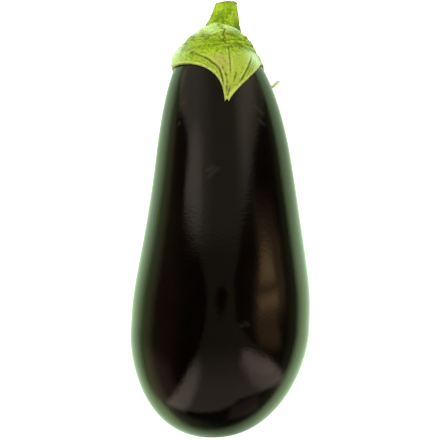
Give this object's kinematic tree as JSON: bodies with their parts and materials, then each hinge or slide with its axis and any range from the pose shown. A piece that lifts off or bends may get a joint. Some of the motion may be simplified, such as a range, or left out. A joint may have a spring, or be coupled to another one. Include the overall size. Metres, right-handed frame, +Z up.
{
  "type": "eggplant",
  "caption": "Glossy near-black eggplant lying on its side, widest near the blossom end, with a green pointed calyx over its shoulder and a short cut stem.",
  "frame": {"origin": "under the middle of the bounding box, on the surface that the eggplant lies on", "axes": "+Z up, +Y along the fruit from the blossom end to the stem, +X to the right seen from above with the stem up"},
  "size_m": [0.0814, 0.199, 0.0819],
  "materials": {
    "skin": "waxy, very glossy, almost black purple skin with a small tan blossom scar",
    "calyx": "matt to satin yellow-green leaf tissue, wrinkled round the stem, with paler margins",
    "stem": "matt green, finely bumpy, with a dry brown rim at the cut"
  },
  "bodies": {
    "root": {"fruit": "skin", "calyx": "calyx", "stem": "stem"}
  },
  "joints": []
}
